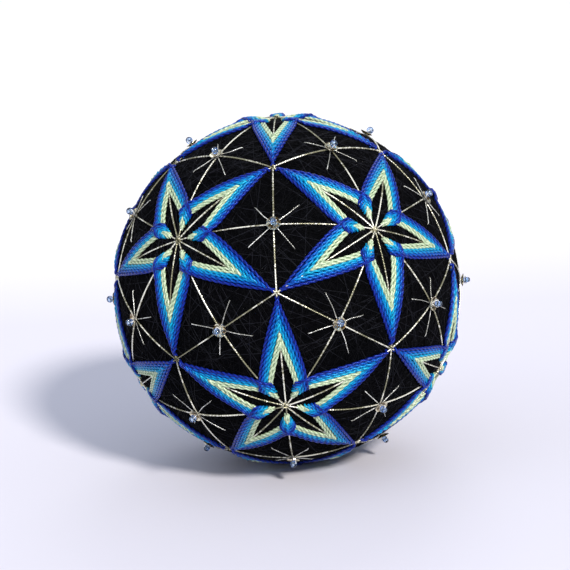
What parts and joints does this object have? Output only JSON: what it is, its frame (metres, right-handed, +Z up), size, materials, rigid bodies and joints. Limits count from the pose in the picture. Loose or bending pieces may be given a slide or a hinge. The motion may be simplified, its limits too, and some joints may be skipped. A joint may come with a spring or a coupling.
{
  "type": "temari ball",
  "caption": "Thread-wrapped temari ball with stitched blue stars, metallic marking threads, and glass beads on cup sequins.",
  "frame": {"origin": "on the floor, under the centre of the ball", "axes": "+Z up through the centres of the top and bottom stars, -Y through the meridian of the lower star that faces the viewer"},
  "size_m": [0.1068, 0.103, 0.1024],
  "materials": {
    "wrap_thread": "matte fine black sewing thread, wound at random",
    "star_thread": "lustrous pearl cotton in cream, cyan and ultramarine",
    "marking_thread": "champagne metallic cord",
    "sequin_foil": "bright faceted cup sequin",
    "bead_glass": "light blue transparent seed bead"
  },
  "bodies": {
    "root": {"ball": "wrap_thread", "star_top": "star_thread", "star_bottom": "star_thread", "star_upper_1": "star_thread", "star_upper_2": "star_thread", "star_upper_3": "star_thread", "star_upper_4": "star_thread", "star_upper_5": "star_thread", "star_lower_1": "star_thread", "star_lower_2": "star_thread", "star_lower_3": "star_thread", "star_lower_4": "star_thread", "star_lower_5": "star_thread", "bead_top_1": "sequin_foil", "bead_top_2": "sequin_foil", "bead_top_3": "sequin_foil", "bead_top_4": "sequin_foil", "bead_top_5": "sequin_foil", "bead_upper_1": "sequin_foil", "bead_upper_2": "sequin_foil", "bead_upper_3": "sequin_foil", "bead_upper_4": "sequin_foil", "bead_upper_5": "sequin_foil", "bead_middle_1": "sequin_foil", "bead_middle_2": "sequin_foil", "bead_middle_3": "sequin_foil", "bead_middle_4": "sequin_foil", "bead_middle_5": "sequin_foil", "bead_middle_6": "sequin_foil", "bead_middle_7": "sequin_foil", "bead_middle_8": "sequin_foil", "bead_middle_9": "sequin_foil", "bead_middle_10": "sequin_foil", "bead_lower_1": "sequin_foil", "bead_lower_2": "sequin_foil", "bead_lower_3": "sequin_foil", "bead_lower_4": "sequin_foil", "bead_lower_5": "sequin_foil", "bead_bottom_1": "sequin_foil", "bead_bottom_2": "sequin_foil", "bead_bottom_3": "sequin_foil", "bead_bottom_4": "sequin_foil", "bead_bottom_5": "sequin_foil"}
  },
  "joints": []
}
